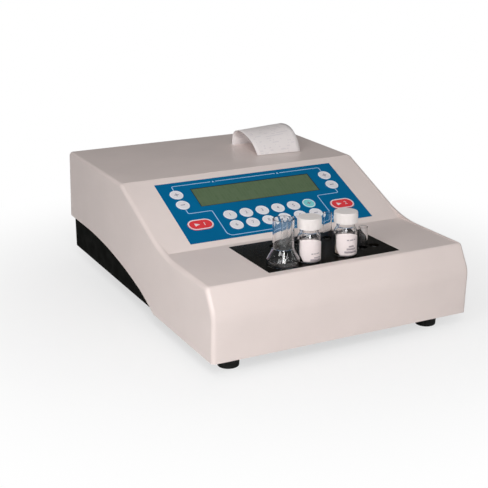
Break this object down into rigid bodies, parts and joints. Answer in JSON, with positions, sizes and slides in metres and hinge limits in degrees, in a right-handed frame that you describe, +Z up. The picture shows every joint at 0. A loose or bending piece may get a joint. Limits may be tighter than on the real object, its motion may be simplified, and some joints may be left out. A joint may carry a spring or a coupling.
{
  "type": "coagulation analyzer",
  "caption": "Desktop coagulation analyzer with a sloped keypad and display, a heated block holding vials, a flask and tubes, and a paper printer",
  "frame": {"origin": "on the table under the middle of the housing", "axes": "+Z up, +Y from the front to the rear, +X to the right as seen from the front"},
  "size_m": [0.302, 0.4259, 0.1651],
  "materials": {
    "cover": "fine textured warm light grey moulding",
    "tray": "black powder coat",
    "panel": "black powder coat",
    "feet": "moulded black rubber",
    "screw_steel": "zinc plated",
    "overlay": "printed blue polyester with a fine texture",
    "circuit": "flexible printed circuit",
    "window": "clear pane",
    "bezel": "satin black",
    "lcd": "olive green reflective liquid crystal cell",
    "board": "green circuit board",
    "plate": "glossy black",
    "block": "milled",
    "spacer": "turned",
    "heater": "flexible heater film",
    "led": "clear red lens",
    "motor_can": "drawn steel can",
    "rotor": "white moulding with plated magnets",
    "core_steel": "varnished laminations",
    "coil_tape": "yellow winding tape",
    "inlet": "black moulding",
    "rocker": "polished black moulding",
    "port_shell": "tin plated",
    "frame_steel": "zinc plated sheet",
    "head": "black",
    "platen": "ground rubber",
    "spindle": "dark moulding",
    "paper": "thermal paper",
    "vial_glass": "clear bottle glass",
    "flask_glass": "clear glass",
    "tube_glass": "clear glass",
    "cap": "white moulding",
    "key_white": "pale embossed key",
    "key_teal": "teal embossed key",
    "key_red": "red embossed key with a pale rim"
  },
  "bodies": {
    "housing": {"top_cover": "cover", "base_tray": "tray", "rear_panel": "panel", "rubber_feet": "feet", "screws": "screw_steel", "keypad_overlay": "overlay", "keypad_circuit": "circuit", "display_window": "window", "lcd_bezel": "bezel", "lcd_glass": "lcd", "lcd_board": "board", "block_top_plate": "plate", "incubation_block": "block", "spacers": "spacer", "block_heater": "heater", "channel_leds": "led", "detector_board": "board", "stirrer_motor": "motor_can", "main_board": "board", "transformer_core": "core_steel", "transformer_coil": "coil_tape", "power_inlet": "inlet", "power_switch_frame": "inlet", "serial_port": "port_shell", "printer_frame": "frame_steel", "printer_motor": "motor_can", "print_head": "head", "roll_spindle": "spindle", "paper_strip": "paper"},
    "key_left_upper": {"key_left_upper": "key_white"},
    "key_left_lower": {"key_left_lower": "key_white"},
    "key_start_left": {"key_start_left": "key_red"},
    "key_right_upper": {"key_right_upper": "key_white"},
    "key_right_lower": {"key_right_lower": "key_white"},
    "key_start_right": {"key_start_right": "key_red"},
    "key_row_1_1": {"key_row_1_1": "key_white"},
    "key_row_1_2": {"key_row_1_2": "key_white"},
    "key_row_1_3": {"key_row_1_3": "key_white"},
    "key_row_1_4": {"key_row_1_4": "key_white"},
    "key_row_1_5": {"key_row_1_5": "key_white"},
    "key_row_1_6": {"key_row_1_6": "key_teal"},
    "key_row_2_1": {"key_row_2_1": "key_white"},
    "key_row_2_2": {"key_row_2_2": "key_white"},
    "key_row_2_3": {"key_row_2_3": "key_white"},
    "key_row_2_4": {"key_row_2_4": "key_white"},
    "key_row_2_5": {"key_row_2_5": "key_white"},
    "key_row_2_6": {"key_row_2_6": "key_white"},
    "vial_1": {"reagent_vial_1": "vial_glass"},
    "cap_1": {"vial_cap_1": "cap"},
    "vial_2": {"reagent_vial_2": "vial_glass"},
    "cap_2": {"vial_cap_2": "cap"},
    "flask": {"glass_flask": "flask_glass"},
    "tube_1": {"test_tube_1": "tube_glass"},
    "tube_2": {"test_tube_2": "tube_glass"},
    "tube_3": {"test_tube_3": "tube_glass"},
    "tube_4": {"test_tube_4": "tube_glass"},
    "paper_roll": {"paper_roll": "paper"},
    "platen": {"platen_roller": "platen"},
    "stirrer": {"stirrer_rotor": "rotor"},
    "rocker": {"power_switch_rocker": "rocker"}
  },
  "joints": [
    {"name": "key_left_upper_press", "type": "slide", "parent": "housing", "child": "key_left_upper", "axis": [0, 0.3863, -0.9224], "range_m": [0, 0.00045], "stiffness_N_per_m": 800},
    {"name": "key_left_lower_press", "type": "slide", "parent": "housing", "child": "key_left_lower", "axis": [0, 0.3863, -0.9224], "range_m": [0, 0.00045], "stiffness_N_per_m": 800},
    {"name": "key_start_left_press", "type": "slide", "parent": "housing", "child": "key_start_left", "axis": [0, 0.3863, -0.9224], "range_m": [0, 0.00045], "stiffness_N_per_m": 800},
    {"name": "key_right_upper_press", "type": "slide", "parent": "housing", "child": "key_right_upper", "axis": [0, 0.3863, -0.9224], "range_m": [0, 0.00045], "stiffness_N_per_m": 800},
    {"name": "key_right_lower_press", "type": "slide", "parent": "housing", "child": "key_right_lower", "axis": [0, 0.3863, -0.9224], "range_m": [0, 0.00045], "stiffness_N_per_m": 800},
    {"name": "key_start_right_press", "type": "slide", "parent": "housing", "child": "key_start_right", "axis": [0, 0.3863, -0.9224], "range_m": [0, 0.00045], "stiffness_N_per_m": 800},
    {"name": "key_row_1_1_press", "type": "slide", "parent": "housing", "child": "key_row_1_1", "axis": [0, 0.3863, -0.9224], "range_m": [0, 0.00045], "stiffness_N_per_m": 800},
    {"name": "key_row_1_2_press", "type": "slide", "parent": "housing", "child": "key_row_1_2", "axis": [0, 0.3863, -0.9224], "range_m": [0, 0.00045], "stiffness_N_per_m": 800},
    {"name": "key_row_1_3_press", "type": "slide", "parent": "housing", "child": "key_row_1_3", "axis": [0, 0.3863, -0.9224], "range_m": [0, 0.00045], "stiffness_N_per_m": 800},
    {"name": "key_row_1_4_press", "type": "slide", "parent": "housing", "child": "key_row_1_4", "axis": [0, 0.3863, -0.9224], "range_m": [0, 0.00045], "stiffness_N_per_m": 800},
    {"name": "key_row_1_5_press", "type": "slide", "parent": "housing", "child": "key_row_1_5", "axis": [0, 0.3863, -0.9224], "range_m": [0, 0.00045], "stiffness_N_per_m": 800},
    {"name": "key_row_1_6_press", "type": "slide", "parent": "housing", "child": "key_row_1_6", "axis": [0, 0.3863, -0.9224], "range_m": [0, 0.00045], "stiffness_N_per_m": 800},
    {"name": "key_row_2_1_press", "type": "slide", "parent": "housing", "child": "key_row_2_1", "axis": [0, 0.3863, -0.9224], "range_m": [0, 0.00045], "stiffness_N_per_m": 800},
    {"name": "key_row_2_2_press", "type": "slide", "parent": "housing", "child": "key_row_2_2", "axis": [0, 0.3863, -0.9224], "range_m": [0, 0.00045], "stiffness_N_per_m": 800},
    {"name": "key_row_2_3_press", "type": "slide", "parent": "housing", "child": "key_row_2_3", "axis": [0, 0.3863, -0.9224], "range_m": [0, 0.00045], "stiffness_N_per_m": 800},
    {"name": "key_row_2_4_press", "type": "slide", "parent": "housing", "child": "key_row_2_4", "axis": [0, 0.3863, -0.9224], "range_m": [0, 0.00045], "stiffness_N_per_m": 800},
    {"name": "key_row_2_5_press", "type": "slide", "parent": "housing", "child": "key_row_2_5", "axis": [0, 0.3863, -0.9224], "range_m": [0, 0.00045], "stiffness_N_per_m": 800},
    {"name": "key_row_2_6_press", "type": "slide", "parent": "housing", "child": "key_row_2_6", "axis": [0, 0.3863, -0.9224], "range_m": [0, 0.00045], "stiffness_N_per_m": 800},
    {"name": "vial_1_lift", "type": "slide", "parent": "housing", "child": "vial_1", "axis": [0, 0, 1], "range_m": [0, 0.06]},
    {"name": "cap_1_lift", "type": "slide", "parent": "vial_1", "child": "cap_1", "axis": [0, 0, 1], "range_m": [0, 0.03]},
    {"name": "vial_2_lift", "type": "slide", "parent": "housing", "child": "vial_2", "axis": [0, 0, 1], "range_m": [0, 0.06]},
    {"name": "cap_2_lift", "type": "slide", "parent": "vial_2", "child": "cap_2", "axis": [0, 0, 1], "range_m": [0, 0.03]},
    {"name": "flask_lift", "type": "slide", "parent": "housing", "child": "flask", "axis": [0, 0, 1], "range_m": [0, 0.06]},
    {"name": "tube_1_lift", "type": "slide", "parent": "housing", "child": "tube_1", "axis": [0, 0, 1], "range_m": [0, 0.06]},
    {"name": "tube_2_lift", "type": "slide", "parent": "housing", "child": "tube_2", "axis": [0, 0, 1], "range_m": [0, 0.06]},
    {"name": "tube_3_lift", "type": "slide", "parent": "housing", "child": "tube_3", "axis": [0, 0, 1], "range_m": [0, 0.06]},
    {"name": "tube_4_lift", "type": "slide", "parent": "housing", "child": "tube_4", "axis": [0, 0, 1], "range_m": [0, 0.06]},
    {"name": "roll_spin", "type": "hinge", "parent": "housing", "child": "paper_roll", "pos_m": [0.075, 0.12, 0.0955], "axis": [1, 0, 0], "continuous": true},
    {"name": "platen_spin", "type": "hinge", "parent": "housing", "child": "platen", "pos_m": [0.075, 0.138, 0.1245], "axis": [1, 0, 0], "continuous": true},
    {"name": "stirrer_spin", "type": "hinge", "parent": "housing", "child": "stirrer", "pos_m": [0.056, -0.1613, 0.0415], "axis": [0, 0, 1], "continuous": true},
    {"name": "power_switch", "type": "hinge", "parent": "housing", "child": "rocker", "pos_m": [-0.06, 0.2042, 0.0365], "axis": [-1, 0, 0], "range_deg": [0, 20]}
  ],
  "couplings": [
    {"joint": "platen_spin", "follows": "roll_spin", "ratio": 4}
  ]
}
